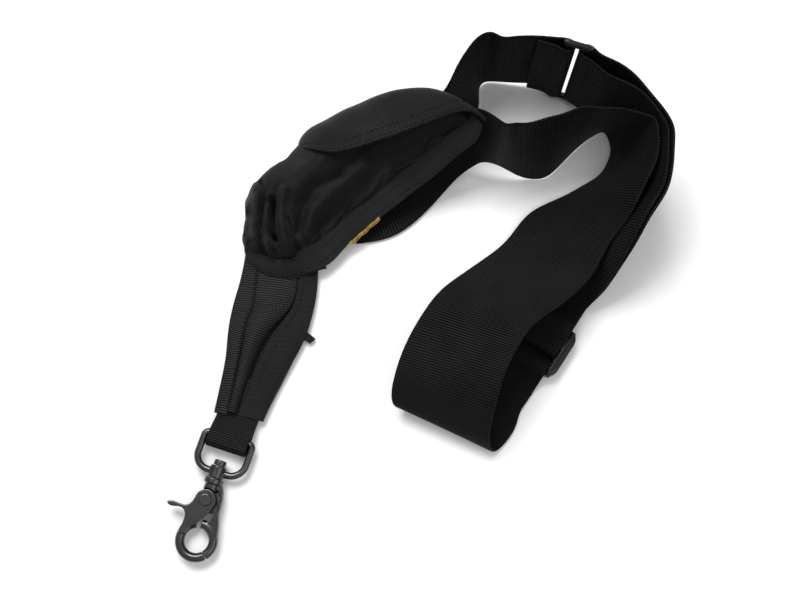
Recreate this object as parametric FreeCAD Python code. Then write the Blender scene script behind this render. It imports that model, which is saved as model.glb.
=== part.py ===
"""Sling strap with a swivel snap hook, an accessory pouch, a square ring and a tri-glide slider.

Lies on a flat surface as it would be put down: the lower edges of the webbing touch z = 0.
Layout axes: X to the right of the hook, Y away from the hook, Z up. All lengths are millimetres.
A webbing route is a list of stations along the lower edge:
(x, y, z, bearing, lean, width), where bearing and lean (degrees) point from the lower edge across
the webbing to its upper edge. lean 90 stands the webbing on edge and lean 0 lays it flat.
"""

import FreeCAD, Part
import math
import os

from FreeCAD import Placement, Rotation, Vector

# Driving dimensions
WEB_WIDTH = 50.0
WEB_THICK = 1.4
NARROW_WIDTH = 20.0
NARROW_THICK = 1.5
CLOTH = 1.0
PLY_GAP = 2.6
BAR_RADIUS = 1.9
WRAP_RADIUS = BAR_RADIUS + 0.1 + WEB_THICK / 2

# Middle of the footprint in layout coordinates; the finished shapes move so that it is the origin.
FOOTPRINT_CENTRE = Vector(10.04, -3.37, 0)

# Square ring: two upright bars that the webbing wraps
RING_LEFT = Vector(80.4, 111.8, 0)
RING_RIGHT = Vector(89.3, 108.8, 0)
RING_FOOT = 3.4

# Tri-glide slider, flat on the surface
SLIDER_CENTRE = Vector(56.5, -14.3, 0)
SLIDER_HEADING = 56.4
SLIDER_LENGTH = 27.0
SLIDER_WIDTH = 59.0
SLIDER_BAR = 4.0

# Snap hook, lying along a line
HOOK_ORIGIN = Vector(-88.7, -91.0, 4.7)
HOOK_TURN = -18.0
PIVOT = Vector(-0.4, -8.4, 0)
JAW_CENTRE = Vector(1.9, -27.3, 0)
JAW_RADIUS = 7.9
JAW_WIRE = 2.2
EYE_BAR_Y = 22.5
EYE_WIRE = 1.7
FOLD_SLACK = 3.3

# Pouch, measured from the lower end of its stitched edge
POUCH_ORIGIN = Vector(-41.0, 15.0, 0)
POUCH_TURN = 40.7


def slider_point(along, height):
    """Lower edge of the webbing where it passes the slider, at a distance along it."""
    angle = math.radians(SLIDER_HEADING)
    ahead = Vector(math.cos(angle), math.sin(angle), 0)
    left = Vector(-math.sin(angle), math.cos(angle), 0)
    point = SLIDER_CENTRE + ahead * along + left * (WEB_WIDTH / 2)
    return (point.x, point.y, height, SLIDER_HEADING - 90, 0, WEB_WIDTH)


def wrap(centre, start, stop, count, height):
    """Stations of webbing that stands on edge round an upright bar."""
    stations = []
    for i in range(count):
        angle = math.radians(start + (stop - start) * i / (count - 1))
        x = centre.x + WRAP_RADIUS * math.cos(angle)
        y = centre.y + WRAP_RADIUS * math.sin(angle)
        stations.append((x, y, height, 0, 90, WEB_WIDTH))
    return stations


def alongside(stations, gap):
    """Stations of a second ply at a distance on the inner side of a leaning one."""
    moved = []
    for x, y, z, bearing, lean, width in stations:
        turn = math.radians(bearing)
        tilt = math.radians(lean)
        side = -gap * math.sin(tilt)
        rise = gap * math.cos(tilt)
        edge = (x + side * math.cos(turn), y + side * math.sin(turn), z + rise)
        moved.append(edge + (bearing, lean, width))
    return moved


# Webbing beyond the slider, where it turns from lying flat to standing on edge
RISING_PLY = [
    (58.5, 28.8, 1, -35.5, 9, 50), (69.5, 36.5, 1, -36.5, 25, 50), (82.8, 43.2, 1, -38.5, 41, 50),
    (96.2, 48.4, 1, -37.5, 55.5, 50), (108.4, 53.6, 1, -32, 66, 50), (116.6, 58, 1, -20, 76, 50),
    (121.8, 63.5, 1, -2, 82, 50), (123.8, 70, 1, 12, 84, 50), (122.5, 77.5, 1, 28, 86, 50),
    (117, 87, 1, 40, 87, 50)]

# Long webbing, from its sewn end under the pouch to the ring and back to the slider.
LONG_ROUTE = [
    ("strap_under_pouch", [
        (-22, 29, 1, 100, 2, 50), (-4, 33, 1, 112, 3, 50), (10, 43, 1, 122, 7, 50),
        (21.5, 55.5, 1, 124, 16, 47)]),
    ("strap_twist", [
        (31.5, 66, 2, 110, 38, 37), (38.5, 70, 5, 92, 62, 36), (44.5, 70.5, 8, 78, 82, 42),
        (51, 69, 7, 150, 88, 50), (58, 66.2, 4, 128, 82, 50), (66, 64.5, 1, 120, 78, 50),
        (74, 65, 1, 112, 76, 50), (80.5, 70, 1, 108, 80, 50), (88, 78, 1, 100, 86, 50)]),
    ("strap_crest", [
        (97, 86, 1, -90, 84, 50), (103.9, 90, 1, -80, 79, 50), (107.8, 87.8, 1, -48, 75, 50),
        (109.3, 81.5, 1, -25, 75.5, 50), (107.8, 74, 1, -15, 72.5, 50)]),
    ("strap_front_band", [
        (102.8, 66, 1, -22, 66, 50), (94.2, 60.2, 1, -31, 58.5, 50), (84.7, 54.9, 1, -36, 49, 50),
        (75.5, 50.6, 1, -35, 40, 50), (65.6, 44.6, 1.7, -33, 32, 50), (54.5, 31, 3.4, -29, 25, 50),
        (42, 19, 8.6, -28, 20, 50), (30, 9, 14.5, -27, 19, 50)]),
    ("strap_front_loop", [
        (19, -1, 19.5, -25, 19, 50), (12, -10.5, 21.5, -23, 18, 50), (6, -20.5, 21.5, -21, 16, 50),
        (1, -31, 20.5, -19, 13, 50), (-2.5, -41.5, 18, -20, 8, 50), (-4, -49, 14, -22, 3, 50),
        (-2.6, -54, 8, -24, 0, 50), (1, -53, 3, -27, 0, 50), (7, -47, 1, -30, 0, 50)]),
    ("strap_return", [
        (14, -36, 1, -32, 0, 50), slider_point(-34, 0.9), slider_point(-27, 0.9)]),
    ("strap_slider_turn", [
        slider_point(-22, 1.4), slider_point(-16.5, 4.0), slider_point(-12.5, 7.0),
        slider_point(-9.5, 7.0), slider_point(-6, 4.0), slider_point(-3, 1.9),
        slider_point(0, 1.2), slider_point(3, 1.9), slider_point(6, 4.0), slider_point(9.5, 7.0),
        slider_point(12.5, 7.0), slider_point(17, 4.2), slider_point(21.5, 1.8)]),
    ("strap_outer_ply", [slider_point(27, 1.0)] + RISING_PLY + [
        (110.8, 96.8, 1, 42, 88, 50), (101.8, 103.8, 2.5, 50, 89, 50)]),
    ("strap_ring_turn", [
        (94.8, 107.9, 4, 50, 90, 50)] + wrap(RING_RIGHT, 60, 240, 5, 4)),
    ("strap_inner_ply", [
        (90.8, 104.3, 3.4, 50, 90, 50), (98.2, 97.6, 1.5, 48, 89, 50), (107.4, 92.4, 1, 42, 88, 50)]
        + list(reversed(alongside(RISING_PLY, PLY_GAP))) + [slider_point(27, 3.0)]),
]

# Short webbing, from under the pouch round a bend to the ring.
SHORT_ROUTE = [
    ("short_strap", [
        (0, 62, 0.9, 124, 1, 36), (12, 72, 0.9, 128, 2, 36), (27, 85, 0.9, 150, 12, 34),
        (36, 95, 1, 172, 40, 38), (40, 102, 1, 196, 54, 38), (41, 108, 1, 190, 72, 44),
        (41, 112.5, 1, 176, 80, 47), (41.8, 116, 1, 140, 85, 49), (44.5, 118.4, 1, 100, 88, 50),
        (48.5, 118.9, 1, -90, 89, 50), (54, 118.4, 1.4, -90, 89, 50), (62, 117.6, 2.2, -90, 90, 50),
        (70, 116.6, 3.4, -90, 90, 50)]),
    ("short_strap_fold", [
        (76, 115.7, 4, 0, 90, 50)] + wrap(RING_LEFT, 80, -105, 5, 4) + [
        (76, 110.8, 4, 0, 90, 50), (72, 112.6, 4, 0, 90, 50), (66, 114.2, 4, 0, 90, 50)]),
]


def across(station):
    """Vector from the lower edge of the webbing to its upper edge."""
    bearing = math.radians(station[3])
    lean = math.radians(station[4])
    flat = math.cos(lean)
    return Vector(flat * math.cos(bearing), flat * math.sin(bearing), math.sin(lean)) * station[5]


def middle_line(stations):
    """Points along the middle of the webbing."""
    return [Vector(*s[:3]) + across(s) * 0.5 for s in stations]


def distances(points):
    """Running distance along a line of points."""
    total = [0.0]
    for a, b in zip(points, points[1:]):
        total.append(total[-1] + (b - a).Length)
    return total


def corner_lines(stations, thick):
    """The four long corner lines of a webbing, as lists of points."""
    low = [Vector(*s[:3]) for s in stations]
    high = [a + across(s) for a, s in zip(low, stations)]
    middle = middle_line(stations)
    lines = [[], [], [], []]
    for i in range(len(stations)):
        before = middle[i] - middle[max(i - 1, 0)]
        after = middle[min(i + 1, len(middle) - 1)] - middle[i]
        ahead = before * after.Length + after * before.Length
        if ahead.Length == 0:
            ahead = before + after
        normal = ahead.cross(high[i] - low[i])
        normal.normalize()
        half = normal * (thick / 2)
        for line, point in zip(lines, (low[i] - half, high[i] - half, high[i] + half, low[i] + half)):
            line.append(point)
    return lines


def webbing(route, thick=WEB_THICK):
    """Closed solids along one webbing. Neighbours meet on a common end face."""
    stations = [s for _, part in route for s in part]
    stops = distances(middle_line(stations))
    curves = []
    for line in corner_lines(stations, thick):
        curve = Part.BSplineCurve()
        curve.interpolate(Points=line, Parameters=stops)
        curves.append(curve)
    solids = {}
    first = 0
    for name, part in route:
        last = min(first + len(part), len(stations) - 1)
        solids[name] = webbing_span(curves, stops[first:last + 1])
        first = last
    return solids


def webbing_span(curves, stops):
    """Closed solid between the first and the last of the stops, one patch per station and side."""
    faces = []
    for start, stop in zip(stops, stops[1:]):
        edges = [curve.toShape(start, stop) for curve in curves]
        faces += [Part.makeRuledSurface(edges[i], edges[(i + 1) % 4]) for i in range(4)]
    for stop in (stops[0], stops[-1]):
        corners = [curve.value(stop) for curve in curves]
        faces.append(Part.Face(Part.makePolygon(corners + corners[:1])))
    shell = Part.Shell(faces)
    shell.sewShape()
    solid = Part.Solid(shell)
    if solid.Volume < 0:
        solid.reverse()
    return solid


def slab(outline, low, high):
    """Flat plate between two heights with a straight-sided outline."""
    points = [Vector(x, y, low) for x, y in outline]
    face = Part.Face(Part.makePolygon(points + points[:1]))
    return face.extrude(Vector(0, 0, high - low))


def smooth_slab(outline, low, high):
    """Flat plate between two heights with a smooth closed outline through the points."""
    curve = Part.BSplineCurve()
    curve.interpolate(Points=[Vector(x, y, low) for x, y in outline], PeriodicFlag=True)
    return Part.Face(Part.Wire(curve.toShape())).extrude(Vector(0, 0, high - low))


def rounded_bar(start, stop, radius):
    """Round bar with domed ends."""
    axis = stop - start
    bar = Part.makeCylinder(radius, axis.Length, start, axis)
    return bar.fuse(Part.makeSphere(radius, start)).fuse(Part.makeSphere(radius, stop))


def rod(start, stop, radius):
    """Round bar with flat ends."""
    axis = stop - start
    return Part.makeCylinder(radius, axis.Length, start, axis)


def loop_ring():
    """Moulded square ring that stands on its short side."""
    lift = Vector(0, 0, 1)
    foot = RING_FOOT / 2
    top = WEB_WIDTH + 2 * RING_FOOT - foot + 1.2
    shape = rod(RING_LEFT + lift * foot, RING_LEFT + lift * top, BAR_RADIUS)
    shape = shape.fuse(rod(RING_RIGHT + lift * foot, RING_RIGHT + lift * top, BAR_RADIUS))
    reach = (RING_RIGHT - RING_LEFT).normalize() * 0.8
    for height in (foot, top):
        bar = rounded_bar(RING_LEFT - reach + lift * height, RING_RIGHT + reach + lift * height, foot)
        shape = shape.fuse(bar)
    return shape.removeSplitter()


def slider_frame():
    """Moulded tri-glide: two outer bars, a raised centre bar and two rounded end bars."""
    half_length = SLIDER_LENGTH / 2
    half_width = SLIDER_WIDTH / 2
    end = (SLIDER_WIDTH - WEB_WIDTH - 1.0) / 2
    shape = Part.makeBox(SLIDER_LENGTH, SLIDER_WIDTH, 7, Vector(-half_length, -half_width, 0.2))
    corners = [e for e in shape.Edges if abs(e.tangentAt(0).z) > 0.9]
    shape = shape.makeFillet(6.0, corners)
    rims = [e for e in shape.Edges if abs(e.BoundBox.ZLength) < 0.01]
    shape = shape.makeFillet(1.6, rims)
    corner = Vector(-half_length - 1, end - half_width, -5)
    shape = shape.cut(Part.makeBox(SLIDER_LENGTH + 2, SLIDER_WIDTH - 2 * end, 20, corner))
    for middle, low, high in (
            (SLIDER_BAR / 2 - half_length + 0.2, 2.6, 6.0), (0, 3.7, 6.2),
            (half_length - SLIDER_BAR / 2 - 0.2, 2.6, 6.0)):
        corner = Vector(middle - SLIDER_BAR / 2 + 0.2, (end - SLIDER_WIDTH) / 2, low)
        bar = Part.makeBox(SLIDER_BAR - 0.4, SLIDER_WIDTH - end, high - low, corner)
        bar = bar.makeFillet(0.9, [e for e in bar.Edges if abs(e.tangentAt(0).y) > 0.9])
        shape = shape.fuse(bar)
    shape = shape.removeSplitter()
    shape.Placement = Placement(SLIDER_CENTRE, Rotation(Vector(0, 0, 1), SLIDER_HEADING))
    return shape


def slider_end_fold():
    """Sewn end of the long webbing, wrapped round the slider's centre bar."""
    profile = [
        (18.5, 5.6), (16, 7.1), (13, 8.8), (9.6, 8.8), (6.4, 6.9), (2.9, 3.8), (0, 2.8), (-2.2, 3.0),
        (-3.1, 4.8), (-2.2, 6.7), (0, 7.1), (3.2, 7.3), (6.2, 8.8), (9.4, 10.6), (13.4, 10.7),
        (17.6, 8.1), (22, 4.8), (26.4, 3.2)]
    route = [("strap_end_fold", [slider_point(along, height) for along, height in profile])]
    return webbing(route)["strap_end_fold"]


def hook_placed(shape):
    """Copy of a shape, moved from the hook's own axes to the layout."""
    shape = shape.copy()
    shape.Placement = Placement(HOOK_ORIGIN, Rotation(Vector(0, 0, 1), HOOK_TURN)).multiply(shape.Placement)
    return shape


def jaw_sector(start, stop):
    """Arc of the hook's ring between two angles, with round section."""
    section = Part.Wire(Part.makeCircle(JAW_WIRE, Vector(JAW_RADIUS, 0, 0), Vector(0, 1, 0)))
    arc = Part.Face(section).revolve(Vector(), Vector(0, 0, 1), stop - start)
    arc.rotate(Vector(), Vector(0, 0, 1), start)
    arc.translate(JAW_CENTRE)
    return arc


def hook_body():
    """Collar, lower pivot plate and the fixed right-hand jaw."""
    collar = rod(Vector(0, -0.4, 0), Vector(0, 2.2, 0), 4.6)
    stem = rod(Vector(0, -3.6, 0), Vector(0, -0.4, 0), 3.6)
    neck = slab([(-3.4, -1), (3.4, -1), (6.0, -6), (6.2, -13), (2.6, -14), (-3.6, -10)], -2.5, -0.1)
    cheek = smooth_slab([
        (2.6, -0.6), (4.9, -0.6), (6.3, -3.2), (7.3, -7.5), (7.6, -12), (9.4, -17.5), (10.6, -22.5),
        (10.4, -26), (8.8, -26), (7.0, -23.2), (4.6, -21.6), (2.2, -20.4), (4.0, -18), (5.5, -14.8),
        (5.8, -11.4), (5.4, -7), (4.4, -3.2)], -2.4, 1.9)
    disc = Part.makeCylinder(5.0, 2.4, PIVOT + Vector(0, 0, -2.5))
    jaw = jaw_sector(-42, 92)
    shape = collar.fuse([stem, neck, cheek, disc, jaw])
    shape = shape.cut(Part.makeCylinder(1.35, 20, PIVOT + Vector(0, 0, -10)))
    shape = shape.cut(Part.makeCylinder(5.4, 6, PIVOT + Vector(0, 0, -0.1)))
    shape = shape.cut(rod(Vector(0, -1.5, 0), Vector(0, 4, 0), 1.75))
    shape = shape.cut(Part.makeCylinder(2.6, 1, PIVOT + Vector(0, 0, -0.45)))
    return shape.cut(side_pins()).removeSplitter()


def swivel_pin():
    """Pin pressed in the collar, through the eye, with its head inside the eye."""
    pin = rod(Vector(0, -1.5, 0), Vector(0, 9.0, 0), 1.75)
    head = rod(Vector(0, 8.6, 0), Vector(0, 11.2, 0), 3.0)
    head = head.makeFillet(0.8, [e for e in head.Edges if e.Vertexes[0].Y > 11])
    return pin.fuse(head).removeSplitter()


def hook_lever():
    """Thumb lever, upper pivot plate and the moving left-hand jaw."""
    disc = Part.makeCylinder(5.0, 2.4, PIVOT + Vector(0, 0, 0.1))
    plate = smooth_slab([
        (0.4, -4.4), (-3.0, -4.6), (-5.0, -6.8), (-5.8, -10.2), (-7.6, -12.9), (-12.1, -13.5),
        (-16.2, -13.8), (-17.3, -14.7), (-16.2, -15.7), (-12.2, -15.3), (-9.0, -15.5), (-7.3, -17.4),
        (-6.9, -20.2), (-7.2, -23.0), (-7.3, -25.5), (-5.4, -26.4), (-3.8, -24.4), (-2.4, -21.8),
        (-0.6, -19.6), (0.9, -17.4), (2.9, -14), (4.2, -10.6), (3.6, -6.6)], 0.1, 2.5)
    web = smooth_slab([
        (-6.4, -17.2), (-6.6, -20.2), (-7.1, -23), (-7.2, -25.4), (-5.4, -26.2), (-3.9, -24.4),
        (-2.5, -21.9), (-1.0, -20), (-0.6, -18), (-3, -16.4)], -2.0, 2.5)
    jaw = jaw_sector(112, 315.5)
    shape = jaw.fuse([disc, plate, web])
    shape = shape.cut(Part.makeCylinder(1.35, 20, PIVOT + Vector(0, 0, -10)))
    clear = Part.makeCylinder(5.4, 2.6, PIVOT + Vector(0, 0, -2.6))
    hole = Part.makeCylinder(JAW_RADIUS - JAW_WIRE, 20, JAW_CENTRE + Vector(0, 0, -10))
    recess = Part.makeCylinder(2.6, 0.35, PIVOT)
    return shape.cut(clear).cut(hole).cut(recess).removeSplitter()


def hook_rivet():
    """Rivet of the lever, with a domed head above and a flat tail below."""
    rivet = Part.makeCylinder(1.3, 5.4, PIVOT + Vector(0, 0, -2.7))
    head = Part.makeCylinder(2.9, 1.0, PIVOT + Vector(0, 0, 2.6))
    head = head.makeFillet(0.6, [e for e in head.Edges if e.Vertexes[0].Z > 3.5])
    tail = Part.makeCylinder(2.2, 0.5, PIVOT + Vector(0, 0, -3.1))
    return rivet.fuse([head, tail]).removeSplitter()


def lever_spring():
    """Flat clock spring round the rivet, in a recess between the two plates."""
    coil = Part.makeCylinder(2.4, 0.6, PIVOT + Vector(0, 0, -0.35))
    return coil.cut(Part.makeCylinder(1.6, 2, PIVOT + Vector(0, 0, -1)))


def side_pins():
    """Two small cross pins in the fixed cheek."""
    pins = [rod(Vector(x, y, -2.0), Vector(x, y, 2.8), 0.9) for x, y in ((5.9, -5.8), (6.2, -10.6))]
    return Part.makeCompound(pins)


def swivel_eye():
    """D-shaped eye: round boss that turns on the swivel pin and a wire bow that holds the webbing."""
    boss = rod(Vector(0, 2.5, 0), Vector(0, 8.3, 0), 3.8)
    side = 12.0
    foot = 5.4
    big = 7.0
    small = 2.0
    top = EYE_BAR_Y
    path = [Part.LineSegment(Vector(0, foot, 0), Vector(side - big, foot, 0)).toShape()]
    path.append(corner_arc(side - big, foot + big, big, -90))
    path.append(Part.LineSegment(Vector(side, foot + big, 0), Vector(side, top - small, 0)).toShape())
    path.append(corner_arc(side - small, top - small, small, 0))
    path.append(Part.LineSegment(Vector(side - small, top, 0), Vector(0, top, 0)).toShape())
    section = Part.Wire(Part.makeCircle(EYE_WIRE, Vector(0, foot, 0), Vector(1, 0, 0)))
    half = Part.Wire(path).makePipeShell([section], True, False)
    other = half.mirror(Vector(), Vector(1, 0, 0))
    shape = half.fuse([other, boss]).removeSplitter()
    return shape.cut(rod(Vector(0, 0, 0), Vector(0, 12, 0), 1.80))


def corner_arc(x, y, radius, start):
    """Quarter turn counter-clockwise from the start angle."""
    points = []
    for step in (0, 45, 90):
        angle = math.radians(start + step)
        points.append(Vector(x + radius * math.cos(angle), y + radius * math.sin(angle), 0))
    return Part.Arc(*points).toShape()


def narrow_webbing():
    """Narrow webbing folded loosely round the eye's top bar, with both tails running into the tab."""
    inner = EYE_WIRE + 0.1
    outer = inner + NARROW_THICK
    tail = 33.0
    turn = EYE_BAR_Y - FOLD_SLACK
    centre = Vector(0, turn, 0)
    bend = Part.makeCylinder(outer, NARROW_WIDTH, centre, Vector(1, 0, 0))
    bend = bend.cut(Part.makeCylinder(inner, NARROW_WIDTH, centre, Vector(1, 0, 0)))
    bend = bend.common(Part.makeBox(NARROW_WIDTH, 9, 12, Vector(0, turn - 9, -6)))
    legs = [bend]
    for low, drop in ((inner, -3.5), (-outer, -0.1)):
        corners = [(-FOLD_SLACK, low), (2.5, low), (9, low + drop), (tail, low + drop)]
        ring = [Vector(0, EYE_BAR_Y + y, z) for y, z in corners]
        ring += [Vector(0, EYE_BAR_Y + y, z + NARROW_THICK) for y, z in reversed(corners)]
        legs.append(Part.Face(Part.makePolygon(ring + ring[:1])).extrude(Vector(NARROW_WIDTH, 0, 0)))
    shape = legs[0].fuse(legs[1:]).removeSplitter()
    shape.translate(Vector(-NARROW_WIDTH / 2, 0, 0))
    return shape


# Tab of wide webbing whose sides are folded in to meet the narrow webbing (layout coordinates)
TAB_OUTLINE = [
    (-78.5, 22), (-84.3, -7), (-85.5, -29.4), (-90.2, -57.5), (-66, -62.5), (-57.8, -42.9), (-50.3, -28.9),
    (-44.6, -17.1), (-41.9, -0.8), (-40.8, 19)]
TAB_LEFT = [
    (-78, 22), (-83.9, -7), (-85.2, -29.4), (-89.9, -57.3), (-83, -58.8), (-78, -29.5), (-75.4, -10),
    (-71.6, 0.5), (-71, 22)]
TAB_RIGHT = [
    (-41, 19), (-42.2, -0.8), (-44.9, -17), (-50.6, -28.7), (-58.1, -42.8), (-66.3, -62.2), (-77.5, -60),
    (-72.6, -48), (-60.4, -20.5), (-51.4, -0.6), (-50.9, 19)]
TAB_CORE = [
    (-70.4, 21), (-70.9, 0.3), (-74.8, -10.3), (-77.4, -29.8), (-81.2, -51), (-77.6, -52),
    (-73.3, -47.4), (-61, -20.1), (-52, -0.3), (-51.5, 21)]


def tab_nodes():
    """Flat tab: a base layer, two folded sides and the raised middle over the narrow webbing."""
    over = 4.9
    edge = [(x - 1, near - 1) for x, near, _ in BACK_SECTIONS]
    edge += [(x - 1, far + 1) for x, _, far in reversed(BACK_SECTIONS)]
    pouch = pouch_placed(slab(edge, -5, 90))
    return {
        "tab_base": slab(TAB_OUTLINE, 0, 1.1),
        "tab_left_fold": slab(TAB_LEFT, over, over + WEB_THICK).cut(pouch),
        "tab_right_fold": slab(TAB_RIGHT, over, over + WEB_THICK).cut(pouch),
        "tab_core": slab(TAB_CORE, over, over + 2.6).cut(pouch),
    }


# Pouch sections: distance along it, near side, far side, height of the pocket above its floor
POCKET_SECTIONS = [
    (-20, 15, 31, 6), (-14, 12, 40, 11), (-4, 12, 47, 15), (10, 11.5, 50.5, 19), (30, 10, 50, 21),
    (50, 8.5, 47, 20), (70, 6, 42, 17), (86, 3.5, 31, 13), (98, 0, 17, 8)]
BACK_SECTIONS = [
    (-22, 16, 30), (-18, 8, 37), (-6, 1.2, 47), (3, -1, 50.5), (20, -0.3, 52.5), (39, -1, 54),
    (58, -3, 49.5), (70, -4.4, 45), (79, -5.5, 40), (90, -7.3, 31), (97, -8.4, 22), (102, -5, 7)]
FLAP_OUTLINE = [
    (31, 45.6), (38.7, 33.6), (47.2, 27.8), (62.1, 20.5), (80.1, 12.6), (97.8, 4.6), (104, -2),
    (112, 30), (60, 70), (31, 62)]
MOUTH_OUTLINE = [(40, 42), (43, 34), (62, 28), (80, 20), (88, 21), (82, 31), (64, 40), (50, 44)]
HEM_OUTLINE = [
    (-22, 16), (-18, 8), (-6, 1.2), (3, -1), (13, -0.6), (13, 5.5), (3, 5.5), (-5, 6.6), (-14, 10),
    (-20.5, 14.5), (-21, 30), (-22, 30)]
TAPE_OUTLINE = [(50, 27), (74, 16), (77, 21), (53, 32)]
DOME_STEPS = 14
FLOOR_START = 5.2
FLOOR_RISE = 31.0
FLOOR_RUN = 98.0
FLOOR_CURVE = 2.6


def pouch_floor(x):
    """Height of the pouch's back: it rises over the standing webbing towards its upper end."""
    return FLOOR_START + FLOOR_RISE * (max(x, 0) / FLOOR_RUN) ** FLOOR_CURVE


def pouch_placed(shape):
    """Copy of a shape, moved from the pouch's own axes to the layout."""
    shape = shape.copy()
    shape.Placement = Placement(POUCH_ORIGIN, Rotation(Vector(0, 0, 1), POUCH_TURN)).multiply(shape.Placement)
    return shape


def dome(grow):
    """Solid of the pocket's outer shape, larger all round by a distance."""
    wires = []
    for i, (x, near, far, height) in enumerate(POCKET_SECTIONS):
        if i == 0:
            x -= grow
        if i == len(POCKET_SECTIONS) - 1:
            x += grow
        low = pouch_floor(x) + CLOTH / 2 + 0.15 - min(grow, 0)
        points = []
        for step in range(DOME_STEPS + 1):
            angle = math.pi * step / DOME_STEPS
            across_half = (far - near) / 2 + grow
            y = (near + far) / 2 - across_half * math.copysign(abs(math.cos(angle)) ** 0.8, math.cos(angle))
            z = low + (height + grow + min(grow, 0)) * math.sin(angle) ** 0.7
            points.append(Vector(x, y, z))
        wires.append(Part.makePolygon(points + points[:1]))
    return Part.makeLoft(wires, True, True)


def over_outline(outline, shape):
    """The part of a shape that lies above a plan outline."""
    return shape.common(slab(outline, -5, 90))


def pouch_nodes():
    """Back sheet, gathered pocket, hem band, tapes, flap and label of the pouch."""
    pocket = dome(0).cut(dome(-CLOTH)).cut(slab(MOUTH_OUTLINE, pouch_floor(60), 90))
    back = [(x, near, pouch_floor(x), 90, 0, far - near) for x, near, far in BACK_SECTIONS]
    band = [(x, near - 1, pouch_floor(x) + 1.9, 90, 0, far - near) for x, near, far in BACK_SECTIONS[:6]]
    hem = over_outline(HEM_OUTLINE, webbing([("hem", band)], 2.4)["hem"]).cut(dome(0.2))
    label = [(x, -1.4, pouch_floor(x) + 1.0, 90, 0, 2.6) for x in (21, 27, 33, 39)]
    nodes = {
        "pouch_back": webbing([("pouch_back", back)], CLOTH)["pouch_back"],
        "pouch_pocket": pocket,
        "pouch_hem": hem,
        "pocket_tape": over_outline(TAPE_OUTLINE, dome(0.8).cut(dome(0.15))),
        "flap_tape": over_outline(TAPE_OUTLINE, dome(1.6).cut(dome(0.95))),
        "pouch_flap": over_outline(FLAP_OUTLINE, dome(2.8).cut(dome(1.75))),
        "edge_label": webbing([("edge_label", label)], 0.6)["edge_label"],
    }
    return {name: pouch_placed(shape) for name, shape in nodes.items()}


def main():
    os.makedirs("parts", exist_ok=True)
    nodes = {}
    nodes.update(webbing(LONG_ROUTE))
    nodes.update(webbing(SHORT_ROUTE))
    nodes["strap_end_fold"] = slider_end_fold()
    nodes["slider_frame"] = slider_frame()
    nodes["loop_ring"] = loop_ring()
    for make in (hook_body, swivel_pin, hook_lever, hook_rivet, lever_spring, side_pins, swivel_eye,
                 narrow_webbing):
        nodes[make.__name__] = hook_placed(make())
    nodes.update(tab_nodes())
    nodes.update(pouch_nodes())
    for name, shape in nodes.items():
        shape.translate(-FOOTPRINT_CENTRE)
        shape.exportStep(f"parts/{name}.step")
        box = shape.BoundBox
        print(f"{name:20s} valid {shape.isValid()} volume {shape.Volume:9.1f} "
              f"low {box.XMin:7.1f} {box.YMin:7.1f} {box.ZMin:5.1f} "
              f"high {box.XMax:7.1f} {box.YMax:7.1f} {box.ZMax:5.1f}")


main()
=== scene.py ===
"""Looks of the sling strap: webbing, pouch, tab, snap hook, slider and ring, on a pale floor.

Lengths in the tables are millimetres in the layout frame of the design, as the webbing's stations are.
A station is (x, y, z, bearing, lean, width) of the lower edge; bearing and lean point to the upper edge.
"""

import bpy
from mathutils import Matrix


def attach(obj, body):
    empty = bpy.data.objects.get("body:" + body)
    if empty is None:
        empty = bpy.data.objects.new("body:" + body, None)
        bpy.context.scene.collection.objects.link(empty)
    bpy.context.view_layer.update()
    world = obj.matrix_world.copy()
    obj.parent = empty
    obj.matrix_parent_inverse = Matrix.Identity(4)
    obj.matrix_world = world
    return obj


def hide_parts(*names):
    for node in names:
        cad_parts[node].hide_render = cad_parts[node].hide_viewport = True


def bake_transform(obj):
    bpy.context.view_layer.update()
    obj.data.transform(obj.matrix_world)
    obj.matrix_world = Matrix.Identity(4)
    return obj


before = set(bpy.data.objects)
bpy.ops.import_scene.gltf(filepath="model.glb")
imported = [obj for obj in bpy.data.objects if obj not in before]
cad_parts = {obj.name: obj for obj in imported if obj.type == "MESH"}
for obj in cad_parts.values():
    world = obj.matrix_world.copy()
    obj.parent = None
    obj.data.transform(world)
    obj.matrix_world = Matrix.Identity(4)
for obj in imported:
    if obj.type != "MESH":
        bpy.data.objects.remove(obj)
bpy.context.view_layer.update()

import math

import bmesh
import bpy
import numpy as np
from mathutils import Vector, noise

MM = 0.001
LAYOUT_ORIGIN = Vector((10.04, -3.37, 0))
WEB_WIDTH = 50
WEB_THICK = 1.4
RIB_PITCH = 1.25
PLY_GAP = 2.6
WRAP_RADIUS = 3.2

RING_LEFT = (80.4, 111.8)
RING_RIGHT = (89.3, 108.8)
SLIDER_CENTRE = (56.5, -14.3)
SLIDER_HEADING = math.radians(56.4)

HOOK_ORIGIN = Vector((-88.7, -91.0, 4.7))
HOOK_TURN = math.radians(-18)
EYE_BAR_Y = 22.5
NARROW_WIDTH = 20
FOLD_SLACK = 3.3
SEAM_LIFT = 0.85

POUCH_ORIGIN = Vector((-41, 15, 0))
POUCH_TURN = math.radians(40.7)


# ---------------------------------------------------------------- places

def at(x, y, z=0.0):
    """Layout millimetres to the row's frame in metres."""
    return (Vector((x, y, z)) - LAYOUT_ORIGIN) * MM


def turned(x, y, angle):
    return x * math.cos(angle) - y * math.sin(angle), x * math.sin(angle) + y * math.cos(angle)


def pouch_xyz(x, y, z):
    """Pouch millimetres to layout millimetres."""
    dx, dy = turned(x, y, POUCH_TURN)
    return (POUCH_ORIGIN.x + dx, POUCH_ORIGIN.y + dy, z)


def hook_xyz(x, y, z):
    """Hook millimetres to layout millimetres."""
    dx, dy = turned(x, y, HOOK_TURN)
    return (HOOK_ORIGIN.x + dx, HOOK_ORIGIN.y + dy, HOOK_ORIGIN.z + z)


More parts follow.
